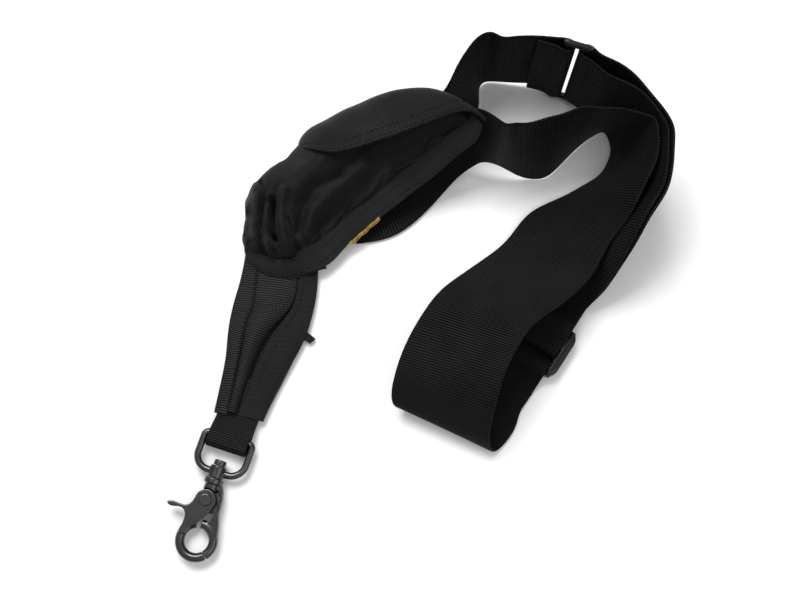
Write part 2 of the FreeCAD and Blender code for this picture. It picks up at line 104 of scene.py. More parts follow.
def natural_spline(points, stops, where):
    """Natural cubic spline through points at the given stops, read at other places along it."""
    points = np.array(points, float)
    stops = np.array(stops, float)
    count = len(stops)
    step = np.diff(stops)
    matrix = np.eye(count)
    right = np.zeros_like(points)
    for i in range(1, count - 1):
        matrix[i, i - 1] = step[i - 1]
        matrix[i, i] = 2 * (step[i - 1] + step[i])
        matrix[i, i + 1] = step[i]
        slope_after = (points[i + 1] - points[i]) / step[i]
        slope_before = (points[i] - points[i - 1]) / step[i - 1]
        right[i] = 6 * (slope_after - slope_before)
    bend = np.linalg.solve(matrix, right)
    where = np.array(where, float)
    index = np.clip(np.searchsorted(stops, where, side="right") - 1, 0, count - 2)
    h = step[index][:, None]
    a = (stops[index + 1] - where)[:, None] / h
    b = 1 - a
    curve = (a ** 3 - a) * bend[index] + (b ** 3 - b) * bend[index + 1]
    return a * points[index] + b * points[index + 1] + curve * h ** 2 / 6


def running(points):
    """Running distance along a line of points."""
    points = np.array(points, float)
    return np.concatenate([[0.0], np.cumsum(np.linalg.norm(np.diff(points, axis=0), axis=1))])


# ---------------------------------------------------------------- meshes

def belongs(obj, body, slot, *nodes):
    """Puts a piece on its body, in place of the CAD nodes it stands for."""
    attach(obj, body)
    if nodes:
        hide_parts(*nodes)
    return obj


def mesh_object(name, vertices, faces, uvs=None, smooth=True):
    """New object from layout millimetres. uvs holds one pair in metres for each vertex."""
    mesh = bpy.data.meshes.new(name)
    mesh.from_pydata([at(*v) for v in vertices], [], faces)
    mesh.update()
    if uvs is not None:
        layer = mesh.uv_layers.new(name="cloth")
        loops = np.empty(len(mesh.loops), dtype=np.int32)
        mesh.loops.foreach_get("vertex_index", loops)
        layer.data.foreach_set("uv", np.array(uvs, float)[loops].ravel())
    mesh.polygons.foreach_set("use_smooth", [smooth] * len(mesh.polygons))
    obj = bpy.data.objects.new(name, mesh)
    bpy.context.scene.collection.objects.link(obj)
    return obj


def apply_modifiers(obj):
    """Replaces the mesh with its evaluated result."""
    graph = bpy.context.evaluated_depsgraph_get()
    graph.update()
    final = bpy.data.meshes.new_from_object(obj.evaluated_get(graph))
    obj.modifiers.clear()
    obj.data = final
    return obj


def paint(obj, material):
    obj.data.materials.clear()
    obj.data.materials.append(material)
    return obj


def station_lines(stations):
    """Lower edge, upper edge and crown of a webbing's stations."""
    low, high, crown = [], [], []
    for station in stations:
        x, y, z, bearing, lean, width = station[:6]
        turn, tilt = math.radians(bearing), math.radians(lean)
        flat = math.cos(tilt) * width
        low.append((x, y, z))
        high.append((x + flat * math.cos(turn), y + flat * math.sin(turn), z + width * math.sin(tilt)))
        crown.append(station[6] if len(station) > 6 else 0.0)
    return low, high, crown


def edge_columns(width):
    """Places across a webbing, with the share of the thickness that it has there and of the rib depth."""
    edge = [(0.0, 0.3, 0.0), (0.2, 0.72, 0.0), (0.55, 0.97, 0.1), (1.1, 1.0, 0.7), (2.0, 1.0, 1.0)]
    inner = np.linspace(2.0, width - 2.0, max(int(width / 5), 3) + 1)[1:-1]
    columns = edge + [(w, 1.0, 1.0) for w in inner]
    return columns + [(width - w, share, rib) for w, share, rib in reversed(edge)]


def strap(name, route, first, last, material, thick=WEB_THICK, pitch=RIB_PITCH, depth=0.13):
    """Ribbed webbing along the part of a route from one station to another."""
    low, high, crown = station_lines(route)
    middle = (np.array(low) + np.array(high)) / 2
    stops = running(middle)
    phases = (0.0, 0.24, 0.5, 0.76)
    start, stop = stops[first], stops[last]
    rows = [start]
    rib = math.floor(start / pitch)
    while rib * pitch < stop:
        rows += [s for s in ((rib + p) * pitch for p in phases) if start + 0.05 < s < stop - 0.05]
        rib += 1
    rows.append(stop)
    rows = np.array(rows)
    low = natural_spline(low, stops, rows)
    high = natural_spline(high, stops, rows)
    crown = natural_spline(np.array(crown)[:, None], stops, rows)[:, 0]
    return ribbon(name, low, high, crown, rows, material, thick, pitch, depth)


def ribbon(name, low, high, crown, rows, material, thick, pitch, depth):
    width = float(np.median(np.linalg.norm(high - low, axis=1)))
    columns = edge_columns(width)
    share_w = np.array([c[0] for c in columns]) / width
    share_t = np.array([c[1] for c in columns])
    share_r = np.array([c[2] for c in columns])
    middle = (low + high) / 2
    ahead = np.gradient(middle, rows, axis=0)
    across = high - low
    normal = np.cross(ahead, across)
    normal /= np.linalg.norm(normal, axis=1)[:, None]
    phase = (rows / pitch) % 1.0
    groove = np.exp(-(np.minimum(phase, 1 - phase) / 0.13) ** 2) * depth
    count = len(columns)
    arch = np.sin(np.pi * share_w) ** 0.8
    vertices, uvs = [], []
    for i in range(len(rows)):
        base = low[i][None, :] + across[i][None, :] * share_w[:, None]
        base = base + normal[i][None, :] * (crown[i] * arch)[:, None]
        half = thick / 2 * share_t - groove[i] * share_r
        vertices += (base + normal[i][None, :] * half[:, None]).tolist()
        vertices += (base - normal[i][None, :] * half[:, None])[::-1].tolist()
        uvs += [(w * width * MM, rows[i] * MM) for w in share_w]
        uvs += [(w * width * MM, rows[i] * MM) for w in share_w[::-1]]
    faces = []
    loop = 2 * count
    for i in range(len(rows) - 1):
        for j in range(loop):
            k = (j + 1) % loop
            faces.append((i * loop + j, i * loop + k, (i + 1) * loop + k, (i + 1) * loop + j))
    faces.append(tuple(reversed(range(loop))))
    faces.append(tuple(range((len(rows) - 1) * loop, len(rows) * loop)))
    obj = mesh_object(name, vertices, faces, uvs)
    sharpen_caps(obj)
    return paint(obj, material)


def sharpen_caps(obj):
    """Keeps the end caps from bending the shading of the sides, and turns all faces outward."""
    shape = bmesh.new()
    shape.from_mesh(obj.data)
    bmesh.ops.recalc_face_normals(shape, faces=shape.faces)
    for face in shape.faces:
        if len(face.verts) > 4:
            for edge in face.edges:
                edge.smooth = False
    shape.to_mesh(obj.data)
    shape.free()


def sheet_grid(name, points, material, thick, uv_scale=1.0):
    """Cloth from a grid of layout points (rows of rows), thickened both ways and closed at its edges."""
    grid = np.array(points, float)
    rows, cols = grid.shape[:2]
    du = np.gradient(grid, axis=0)
    dv = np.gradient(grid, axis=1)
    normal = np.cross(du, dv)
    length = np.linalg.norm(normal, axis=2)
    normal /= np.maximum(length, 1e-9)[:, :, None]
    down, side = (np.linalg.norm(np.diff(grid, axis=axis), axis=2) for axis in (0, 1))
    along = np.concatenate([np.zeros((1, cols)), np.cumsum(down, axis=0)])
    over = np.concatenate([np.zeros((rows, 1)), np.cumsum(side, axis=1)], axis=1)
    edge = np.ones((rows, cols))
    edge[0, :] = edge[-1, :] = 0.55
    edge[:, 0] = edge[:, -1] = 0.55
    top = grid + normal * (edge * thick / 2)[:, :, None]
    low = grid - normal * (edge * thick / 2)[:, :, None]
    vertices = np.concatenate([top.reshape(-1, 3), low.reshape(-1, 3)]).tolist()
    uv = np.stack([over.ravel(), along.ravel()], axis=1) * MM * uv_scale
    uvs = np.concatenate([uv, uv]).tolist()
    faces = []
    shift = rows * cols
    for i in range(rows - 1):
        for j in range(cols - 1):
            a, b = i * cols + j, i * cols + j + 1
            c, d = (i + 1) * cols + j + 1, (i + 1) * cols + j
            faces.append((a, d, c, b))
            faces.append((a + shift, b + shift, c + shift, d + shift))
    rim = [j for j in range(cols)]
    rim += [i * cols + cols - 1 for i in range(1, rows)]
    rim += [(rows - 1) * cols + j for j in range(cols - 2, -1, -1)]
    rim += [i * cols for i in range(rows - 2, 0, -1)]
    for a, b in zip(rim, rim[1:] + rim[:1]):
        faces.append((a, b, b + shift, a + shift))
    obj = mesh_object(name, vertices, faces, uvs)
    sharpen_caps(obj)
    return paint(obj, material)


def stitches(name, points, normals, material, pitch=2.6, length=1.9, radius=0.2, lift=0.12):
    """A row of thread stitches along a line of layout points that lies on a surface."""
    points = np.array(points, float)
    stops = running(points)
    normals = np.array(normals, float)
    ring = 6
    vertices, faces = [], []
    place = pitch / 2
    while place < stops[-1] - pitch / 2:
        centre = np.array([np.interp(place, stops, points[:, k]) for k in range(3)])
        before = np.array([np.interp(place - 0.4, stops, points[:, k]) for k in range(3)])
        after = np.array([np.interp(place + 0.4, stops, points[:, k]) for k in range(3)])
        up = np.array([np.interp(place, stops, normals[:, k]) for k in range(3)])
        up /= np.linalg.norm(up)
        way = after - before
        way /= np.linalg.norm(way)
        side = np.cross(up, way)
        base = len(vertices)
        for share, size, drop in ((-0.5, 0.35, -0.9), (-0.3, 0.9, 0.1), (0.0, 1.0, 0.5), (0.3, 0.9, 0.1),
                                  (0.5, 0.35, -0.9)):
            spot = centre + way * length * share + up * (lift + drop * radius)
            for k in range(ring):
                angle = 2 * math.pi * k / ring
                spoke = side * math.cos(angle) + up * math.sin(angle)
                vertices.append((spot + spoke * radius * size).tolist())
        for i in range(4):
            for k in range(ring):
                m = (k + 1) % ring
                a = base + i * ring
                faces.append((a + k, a + m, a + ring + m, a + ring + k))
        faces.append(tuple(base + k for k in reversed(range(ring))))
        faces.append(tuple(base + 4 * ring + k for k in range(ring)))
        place += pitch
    return paint(mesh_object(name, vertices, faces), material)


# ---------------------------------------------------------------- materials

def nodes_of(name):
    material = bpy.data.materials.new(name)
    material.use_nodes = True
    tree = material.node_tree
    return material, tree, tree.nodes["Principled BSDF"]


def math_node(tree, operation, first, second=None):
    node = tree.nodes.new("ShaderNodeMath")
    node.operation = operation
    for socket, value in zip(node.inputs, (first, second)):
        if value is None:
            continue
        if isinstance(value, (int, float)):
            socket.default_value = value
        else:
            tree.links.new(value, socket)
    return node.outputs[0]


def cloth_axes(tree):
    """Across and along coordinates of the cloth, in metres."""
    uv = tree.nodes.new("ShaderNodeUVMap")
    uv.uv_map = "cloth"
    split = tree.nodes.new("ShaderNodeSeparateXYZ")
    tree.links.new(uv.outputs[0], split.inputs[0])
    return split.outputs[0], split.outputs[1]


def noise_node(tree, scale, detail=2.0, vector=None):
    node = tree.nodes.new("ShaderNodeTexNoise")
    node.inputs["Scale"].default_value = scale
    node.inputs["Detail"].default_value = detail
    if vector is None:
        coordinates = tree.nodes.new("ShaderNodeTexCoord")
        vector = coordinates.outputs["Object"]
    tree.links.new(vector, node.inputs["Vector"])
    return node.outputs[0]


def colour_ramp(tree, factor, dark, light, low=0.0, high=1.0):
    ramp = tree.nodes.new("ShaderNodeValToRGB")
    ramp.color_ramp.elements[0].position = low
    ramp.color_ramp.elements[1].position = high
    ramp.color_ramp.elements[0].color = (*dark, 1)
    ramp.color_ramp.elements[1].color = (*light, 1)
    tree.links.new(factor, ramp.inputs[0])
    return ramp.outputs[0]


def bump(tree, shader, height, distance, strength=1.0):
    node = tree.nodes.new("ShaderNodeBump")
    node.inputs["Strength"].default_value = strength
    node.inputs["Distance"].default_value = distance
    tree.links.new(height, node.inputs["Height"])
    tree.links.new(node.outputs[0], shader.inputs["Normal"])


def webbing_material(name, dark, light, rib_mm, thread_mm, gloss=0.09, relief=0.16):
    """Black nylon webbing: ribs across it, fine threads along it, with painted highlight on the rib ridges
    and painted shade in the grooves.
    """
    material, tree, shader = nodes_of(name)
    across, along = cloth_axes(tree)
    rib = math_node(tree, "MULTIPLY", along, math.pi / (rib_mm * MM))
    rib = math_node(tree, "ABSOLUTE", math_node(tree, "SINE", rib))
    row = math_node(tree, "FLOOR", math_node(tree, "DIVIDE", along, rib_mm * MM))
    thread = math_node(tree, "MULTIPLY", across, 2 * math.pi / (thread_mm * MM))
    thread = math_node(tree, "ADD", thread, math_node(tree, "MULTIPLY", row, math.pi))
    thread = math_node(tree, "MULTIPLY", math_node(tree, "SINE", thread), 0.2)
    height = math_node(tree, "ADD", rib, thread)
    patch = noise_node(tree, 70, 4)
    # Colour follows the rib and thread height: painted highlight on the ridges, painted shade in the
    # grooves; the noise patches add random tone.
    ridge_shading = math_node(tree, "MULTIPLY", height, 0.75)
    tone = math_node(tree, "ADD", ridge_shading, math_node(tree, "MULTIPLY", patch, 0.3))
    tree.links.new(colour_ramp(tree, tone, dark, light, 0.2, 0.98), shader.inputs["Base Color"])
    tree.links.new(math_node(tree, "MULTIPLY", tone, gloss), shader.inputs["Specular IOR Level"])
    shader.inputs["Roughness"].default_value = 0.5
    shader.inputs["Sheen Weight"].default_value = 0.015
    shader.inputs["Sheen Roughness"].default_value = 0.35
    bump(tree, shader, height, relief * MM, 0.9)
    return material


def plain_weave_material(name, dark, light, thread_mm, gloss=0.14, relief=0.24):
    """Coarse basket weave of twisted yarn, with painted highlight on the raised yarn and painted shade in
    the hollows, and slight fading in patches.
    """
    material, tree, shader = nodes_of(name)
    across, along = cloth_axes(tree)
    scale = math.pi / (thread_mm * MM)
    a = math_node(tree, "SINE", math_node(tree, "MULTIPLY", across, scale))
    b = math_node(tree, "SINE", math_node(tree, "MULTIPLY", along, scale))
    ridge = math_node(tree, "ABSOLUTE", math_node(tree, "MULTIPLY", a, b))
    ridge = math_node(tree, "POWER", ridge, 0.6)
    fibre = noise_node(tree, 1400, 3)
    height = math_node(tree, "ADD", ridge, math_node(tree, "MULTIPLY", fibre, 0.35))
    patch = noise_node(tree, 45, 4)
    # Colour follows the weave height: painted highlight where the yarn stands up, painted shade in the
    # hollows between threads.
    ridge_shading = math_node(tree, "MULTIPLY", height, 0.62)
    tone = math_node(tree, "ADD", ridge_shading, math_node(tree, "MULTIPLY", patch, 0.34))
    tree.links.new(colour_ramp(tree, tone, dark, light, 0.2, 0.95), shader.inputs["Base Color"])
    tree.links.new(math_node(tree, "MULTIPLY", tone, gloss), shader.inputs["Specular IOR Level"])
    shader.inputs["Roughness"].default_value = 0.5
    shader.inputs["Sheen Weight"].default_value = 0.03
    shader.inputs["Sheen Roughness"].default_value = 0.35
    bump(tree, shader, height, relief * MM, 0.9)
    return material


def thread_material(name, colour):
    material, tree, shader = nodes_of(name)
    twist = noise_node(tree, 2600, 2)
    tree.links.new(colour_ramp(tree, twist, tuple(c * 0.5 for c in colour), colour, 0.3, 0.7),
                   shader.inputs["Base Color"])
    shader.inputs["Roughness"].default_value = 0.5
    shader.inputs["Specular IOR Level"].default_value = 0.12
    bump(tree, shader, twist, 0.05 * MM)
    return material


def tape_material(name):
    """Loop and hook tape: dense short fibres."""
    material, tree, shader = nodes_of(name)
    pile = noise_node(tree, 1700, 5)
    tree.links.new(colour_ramp(tree, pile, (0.003, 0.003, 0.003), (0.03, 0.03, 0.032), 0.35, 0.7),
                   shader.inputs["Base Color"])
    shader.inputs["Roughness"].default_value = 0.9
    shader.inputs["Sheen Weight"].default_value = 0.4
    bump(tree, shader, pile, 0.4 * MM)
    return material


def label_material():
    """Woven label seen along its folded edge: gold threads with dark gaps, no lettering."""
    material, tree, shader = nodes_of("label_gold")
    _, along = cloth_axes(tree)
    fine = math_node(tree, "SINE", math_node(tree, "MULTIPLY", along, 2 * math.pi / (0.9 * MM)))
    coarse = noise_node(tree, 420, 2)
    tone = math_node(tree, "ADD", math_node(tree, "MULTIPLY", fine, 0.18), coarse)
    tree.links.new(colour_ramp(tree, tone, (0.05, 0.03, 0.006), (0.62, 0.36, 0.07), 0.36, 0.6),
                   shader.inputs["Base Color"])
    shader.inputs["Roughness"].default_value = 0.4
    shader.inputs["Metallic"].default_value = 0.25
    bump(tree, shader, fine, 0.1 * MM)
    return material


def metal_material(name, colour, roughness, wear):
    """Black satin finish on cast metal, thin and brighter where it is handled."""
    material, tree, shader = nodes_of(name)
    grain = noise_node(tree, 900, 3)
    patch = noise_node(tree, 120, 5)
    light = tuple(c * wear for c in colour)
    tree.links.new(colour_ramp(tree, patch, colour, light, 0.45, 0.8), shader.inputs["Base Color"])
    rough = math_node(tree, "ADD", math_node(tree, "MULTIPLY", patch, 0.18), roughness - 0.09)
    tree.links.new(rough, shader.inputs["Roughness"])
    shader.inputs["Metallic"].default_value = 0.0
    shader.inputs["Specular IOR Level"].default_value = 0.75
    bump(tree, shader, grain, 0.02 * MM, 0.5)
    return material


def plastic_material(name):
    """Glossy black moulding with faint flow marks and fine scratches."""
    material, tree, shader = nodes_of(name)
    flow = noise_node(tree, 60, 3)
    scuff = noise_node(tree, 700, 6)
    tree.links.new(colour_ramp(tree, flow, (0.002, 0.002, 0.0025), (0.006, 0.006, 0.007)),
                   shader.inputs["Base Color"])
    rough = math_node(tree, "ADD", math_node(tree, "MULTIPLY", scuff, 0.16), 0.16)
    tree.links.new(rough, shader.inputs["Roughness"])
    shader.inputs["Specular IOR Level"].default_value = 0.3
    bump(tree, shader, flow, 0.05 * MM, 0.4)
    return material


def floor_material():
    material, tree, shader = nodes_of("floor_paper")
    fibre = noise_node(tree, 90, 6)
    pale = colour_ramp(tree, fibre, (0.83, 0.83, 0.83), (0.88, 0.88, 0.875))
    tree.links.new(pale, shader.inputs["Base Color"])
    shader.inputs["Roughness"].default_value = 0.75
    return material


NYLON = webbing_material(
    "nylon_webbing", (0.0004, 0.0004, 0.0005), (0.0095, 0.0093, 0.0108), RIB_PITCH, 0.9)
NARROW = webbing_material(
    "narrow_webbing_nylon", (0.0006, 0.0006, 0.0007), (0.013, 0.013, 0.0145), 1.1, 1.0, 0.12)
TAB_WEAVE = webbing_material(
    "tab_weave", (0.001, 0.001, 0.0012), (0.018, 0.018, 0.0195), 1.2, 1.2, 0.2, 0.2)
CORDURA = plain_weave_material("pouch_weave", (0.0008, 0.0008, 0.001), (0.017, 0.017, 0.0182), 1.0)
BINDING = plain_weave_material("binding_weave", (0.001, 0.001, 0.0012), (0.018, 0.018, 0.0192), 0.85, 0.16)
THREAD = thread_material("black_thread", (0.009, 0.009, 0.0096))
TAPE = tape_material("touch_tape")
GOLD = label_material()
HOOK_BLACK = metal_material("hook_black", (0.004, 0.004, 0.0045), 0.24, 2.4)
PIN_BLACK = metal_material("pin_black", (0.012, 0.012, 0.013), 0.2, 2.0)
MOULDED = plastic_material("moulded_gloss")


# ---------------------------------------------------------------- webbing routes

def slider_point(along, height):
    """Lower edge of the webbing where it passes the slider."""
    ahead = (math.cos(SLIDER_HEADING), math.sin(SLIDER_HEADING))
    x = SLIDER_CENTRE[0] + ahead[0] * along - ahead[1] * WEB_WIDTH / 2
    y = SLIDER_CENTRE[1] + ahead[1] * along + ahead[0] * WEB_WIDTH / 2
    return (x, y, height, math.degrees(SLIDER_HEADING) - 90, 0, WEB_WIDTH)


def wrap(centre, start, stop, count, height):
    """Stations of webbing that stands on edge round an upright bar."""
    stations = []
    for i in range(count):
        angle = math.radians(start + (stop - start) * i / (count - 1))
        x = centre[0] + WRAP_RADIUS * math.cos(angle)
        y = centre[1] + WRAP_RADIUS * math.sin(angle)
        stations.append((x, y, height, 0, 90, WEB_WIDTH))
    return stations


def alongside(stations, gap):
    """Stations of a second ply at a distance on the inner side of a leaning one."""
    moved = []
    for x, y, z, bearing, lean, width in stations:
        turn, tilt = math.radians(bearing), math.radians(lean)
        side = -gap * math.sin(tilt)
        edge = (x + side * math.cos(turn), y + side * math.sin(turn), z + gap * math.cos(tilt))
        moved.append(edge + (bearing, lean, width))
    return moved


# Webbing beyond the slider, where it turns from lying flat to standing on edge
RISING_PLY = [
    (58.5, 28.8, 1, -35.5, 9, 50), (69.5, 36.5, 1, -36.5, 25, 50), (82.8, 43.2, 1, -38.5, 41, 50),
    (96.2, 48.4, 1, -37.5, 55.5, 50), (108.4, 53.6, 1, -32, 66, 50), (116.6, 58, 1, -20, 76, 50),
    (121.8, 63.5, 1, -2, 82, 50), (123.8, 70, 1, 12, 84, 50), (122.5, 77.5, 1, 28, 86, 50),
    (117, 87, 1, 40, 87, 50)]

LONG_PARTS = [
    ("under_pouch", [
        (-22, 29, 1, 100, 2, 50), (-4, 33, 1, 112, 3, 50), (10, 43, 1, 122, 7, 50),
        (21.5, 55.5, 1, 124, 16, 47)]),
    ("twist", [
        (31.5, 66, 2, 110, 38, 37), (38.5, 70, 5, 92, 62, 36), (44.5, 70.5, 8, 78, 82, 42),
        (51, 69, 7, 150, 88, 50), (58, 66.2, 4, 128, 82, 50), (66, 64.5, 1, 120, 78, 50),
        (74, 65, 1, 112, 76, 50), (80.5, 70, 1, 108, 80, 50), (88, 78, 1, 100, 86, 50)]),
    ("crest", [
        (97, 86, 1, -90, 84, 50), (103.9, 90, 1, -80, 79, 50), (107.8, 87.8, 1, -48, 75, 50),
        (109.3, 81.5, 1, -25, 75.5, 50), (107.8, 74, 1, -15, 72.5, 50)]),
    ("front_band", [
        (102.8, 66, 1, -22, 66, 50), (94.2, 60.2, 1, -31, 58.5, 50), (84.7, 54.9, 1, -36, 49, 50),
        (75.5, 50.6, 1, -35, 40, 50), (65.6, 44.6, 1.7, -33, 32, 50), (54.5, 31, 3.4, -29, 25, 50),
        (42, 19, 8.6, -28, 20, 50), (30, 9, 14.5, -27, 19, 50)]),
    ("front_loop", [
        (19, -1, 19.5, -25, 19, 50), (12, -10.5, 21.5, -23, 18, 50), (6, -20.5, 21.5, -21, 16, 50),
        (1, -31, 20.5, -19, 13, 50), (-2.5, -41.5, 18, -20, 8, 50), (-4, -49, 14, -22, 3, 50),
        (-2.6, -54, 8, -24, 0, 50), (1, -53, 3, -27, 0, 50), (7, -47, 1, -30, 0, 50)]),
    ("return", [
        (14, -36, 1, -32, 0, 50), slider_point(-34, 0.9), slider_point(-27, 0.9)]),
    ("slider_turn", [
        slider_point(-22, 1.4), slider_point(-16.5, 4.0), slider_point(-12.5, 7.0),
        slider_point(-9.5, 7.0), slider_point(-6, 4.0), slider_point(-3, 1.9),
        slider_point(0, 1.2), slider_point(3, 1.9), slider_point(6, 4.0), slider_point(9.5, 7.0),
        slider_point(12.5, 7.0), slider_point(17, 4.2), slider_point(21.5, 1.8)]),
    ("outer_low", [slider_point(27, 1.0)] + RISING_PLY[:5]),
    ("outer_high", RISING_PLY[5:] + [(110.8, 96.8, 1, 42, 88, 50), (101.8, 103.8, 2.5, 50, 89, 50)]),
    ("ring_turn", [
        (94.8, 107.9, 4, 50, 90, 50)] + wrap(RING_RIGHT, 60, 240, 5, 4)),
    ("inner_high", [
        (90.8, 104.3, 3.4, 50, 90, 50), (98.2, 97.6, 1.5, 48, 89, 50), (107.4, 92.4, 1, 42, 88, 50)]
        + list(reversed(alongside(RISING_PLY[5:], PLY_GAP)))),
    ("inner_low", list(reversed(alongside(RISING_PLY[:5], PLY_GAP))) + [slider_point(27, 3.0)]),
]

SHORT_PARTS = [
    ("short", [
        (0, 62, 0.9, 124, 1, 36), (12, 72, 0.9, 128, 2, 36), (27, 85, 0.9, 150, 12, 34),
        (36, 95, 1, 172, 40, 38), (40, 102, 1, 196, 54, 38), (41, 108, 1, 190, 72, 44),
        (41, 112.5, 1, 176, 80, 47), (41.8, 116, 1, 140, 85, 49), (44.5, 118.4, 1, 100, 88, 50),
        (48.5, 118.9, 1, -90, 89, 50), (54, 118.4, 1.4, -90, 89, 50), (62, 117.6, 2.2, -90, 90, 50),
        (70, 116.6, 3.4, -90, 90, 50)]),
    ("short_fold", [
        (76, 115.7, 4, 0, 90, 50)] + wrap(RING_LEFT, 80, -105, 5, 4) + [
        (76, 110.8, 4, 0, 90, 50), (72, 112.6, 4, 0, 90, 50), (66, 114.2, 4, 0, 90, 50)]),
]

END_FOLD = [
    (18.5, 5.6), (16, 7.1), (13, 8.8), (9.6, 8.8), (6.4, 6.9), (2.9, 3.8), (0, 2.8), (-2.2, 3.0),
    (-3.1, 4.8), (-2.2, 6.7), (0, 7.1), (3.2, 7.3), (6.2, 8.8), (9.4, 10.6), (13.4, 10.7),
    (17.6, 8.1), (22, 4.8), (26.4, 3.2)]


def route_spans(parts):
    """All stations of a route and the first and last station of each part."""
    stations = [s for _, part in parts for s in part]
    spans, first = {}, 0
    for name, part in parts:
        last = min(first + len(part), len(stations) - 1)
        spans[name] = (first, last)
        first = last
    return stations, spans


def webbing_piece(name, stations, span, node, body, other=None):
    """One piece of the wide webbing. It rides one body; when a second body is given, it is left fixed in
    place with no body.
    """
    obj = strap("webbing_" + name, stations, span[0], span[1], NYLON)
    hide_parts(*node)
    if other is None:
        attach(obj, body)
    else:
        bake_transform(obj)
    return obj


def make_straps():
    route, spans = route_spans(LONG_PARTS)
    body = (spans["under_pouch"][0], spans["front_loop"][1])
    nodes = ("strap_under_pouch", "strap_twist", "strap_crest", "strap_front_band", "strap_front_loop")
    webbing_piece("long", route, body, nodes, "root")
    webbing_piece("return", route, spans["return"], ("strap_return",), "root", "slider")
    webbing_piece("in_slider", route, spans["slider_turn"], ("strap_slider_turn",), "slider")
    low, high = spans["outer_low"], spans["outer_high"]
    webbing_piece("outer_low", route, low, ("strap_outer_ply",), "slider", "root")
    webbing_piece("outer_high", route, high, ("strap_outer_ply",), "root", "ring")
    webbing_piece("ring_turn", route, spans["ring_turn"], ("strap_ring_turn",), "ring")
    high, low = spans["inner_high"], spans["inner_low"]
    webbing_piece("inner_high", route, high, ("strap_inner_ply",), "ring", "root")
    webbing_piece("inner_low", route, low, ("strap_inner_ply",), "root", "slider")
    fold = [slider_point(along, height) for along, height in END_FOLD]
    webbing_piece("end_fold", fold, (0, len(fold) - 1), ("strap_end_fold",), "slider")

    route, spans = route_spans(SHORT_PARTS)
    webbing_piece("short", route, spans["short"], ("short_strap",), "root")
    first, last = spans["short_fold"]
    webbing_piece("short_fold", route, (first, last), ("short_strap_fold",), "root", "ring")


# ---------------------------------------------------------------- narrow webbing and tab

def make_narrow():
    """Narrow webbing folded round the eye's straight bar."""
    line = [(30, -0.9), (20, -0.9), (11, -0.9), (6, 0.6), (2.6, 2.2)]
    for i in range(7):
        angle = math.radians(90 + 30 * i)
        line.append((2.55 * math.cos(angle) - FOLD_SLACK, 2.55 * math.sin(angle)))
    line += [(3, -2.62), (9, -2.7), (20, -2.7), (30, -2.7)]
    stations = []
    for y, z in line:
        x0, y0, z0 = hook_xyz(-NARROW_WIDTH / 2, EYE_BAR_Y + y, z)
        stations.append((x0, y0, z0, math.degrees(HOOK_TURN), 0, NARROW_WIDTH))
    obj = strap("narrow_webbing_fold", stations, 0, len(stations) - 1, NARROW, 1.5, 1.1, 0.1)
    belongs(obj, "root", "webbing", "narrow_webbing")


def between(rows):
    """Stations from rows of (left x, left y, left z, right x, right y, right z, crown)."""
    stations = []
    for x0, y0, z0, x1, y1, z1, crown in rows:
        dx, dy, dz = x1 - x0, y1 - y0, z1 - z0
        flat = math.hypot(dx, dy)
        width = math.sqrt(flat * flat + dz * dz)
        bearing = math.degrees(math.atan2(dy, dx))
        stations.append((x0, y0, z0, bearing, math.degrees(math.atan2(dz, flat)), width, crown))
    return stations


TAB_LEFT = [
    (-77.5, 24, 3.0, -70.2, 22, 3.6, 0.3), (-79.5, 10, 3.6, -71.2, 9, 4.8, 0.5),
    (-82.5, -3, 4.0, -72.4, -3, 5.4, 0.6), (-84.4, -15, 4.2, -75.4, -12.5, 5.8, 0.6),
    (-85.2, -29, 4.2, -78.0, -28, 6.0, 0.5), (-87.2, -43, 4.2, -80.6, -43.2, 6.0, 0.4),
    (-89.8, -57.2, 4.2, -83.2, -58.6, 5.4, 0.3)]
TAB_CORE = [
    (-70.6, 22, 3.2, -50.8, 19, 3.2, 0.3), (-71.6, 9, 4.4, -51.0, 6, 4.4, 0.8),
    (-72.8, -3, 4.8, -54.0, -5, 4.6, 2.0), (-75.6, -12.5, 5.0, -62.5, -15.5, 4.6, 3.6),
    (-78.0, -28, 5.0, -70.6, -31, 4.4, 3.4), (-80.8, -43.2, 4.8, -75.2, -45.4, 4.2, 3.0),
    (-83.4, -56.6, 4.6, -78.6, -57.8, 4.2, 2.6)]
TAB_RIGHT = [
    (-50.6, 19, 3.2, -41.0, 19, 2.4, 0.3), (-50.9, 6, 4.6, -41.2, 6, 2.8, 0.5),
    (-53.4, -5, 4.8, -42.6, -5, 3.0, 0.7), (-61.0, -15.5, 3.4, -45.6, -17, 3.2, 1.6),
    (-69.4, -32, 3.2, -51.8, -31, 3.2, 1.7), (-74.6, -46, 3.2, -59.0, -45, 3.2, 1.5),
    (-78.2, -58.8, 3.6, -66.0, -61.6, 3.2, 0.9)]
TAB_BASE = [
    (-77.2, 26, 1.2, -41.2, 22, 1.2, 0), (-81.8, -3, 1.4, -42.8, -5, 1.4, 0),
    (-84.6, -29, 1.4, -52.2, -31, 1.4, 0), (-88.9, -56.6, 1.6, -66.4, -60.8, 1.6, 0)]
TAB_STUB = [(-48.6, -19.6, 1.9, -44.4, -22.8, 1.9, 0), (-46.6, -16.4, 1.9, -41.6, -20.4, 1.9, 0.3)]


def edge_line(stations, share, lift):
    """Line along a set of stations at a share of their width."""
    points = []
    for station in stations:
        turn, tilt = math.radians(station[3]), math.radians(station[4])
        run = station[5] * share
        crown = station[6] * math.sin(math.pi * share) ** 0.8
        points.append((station[0] + run * math.cos(turn) * math.cos(tilt),
                       station[1] + run * math.sin(turn) * math.cos(tilt),
                       station[2] + run * math.sin(tilt) + crown + lift))
    return natural_spline(points, running(points), np.linspace(1.0, running(points)[-1] - 1.0, 140))


def stitch_seam(name, line, slot):
    """Row of stitches facing up along a line."""
    row = stitches(name, line, [(0, 0, 1)] * len(line), THREAD)
    belongs(row, "root", slot)


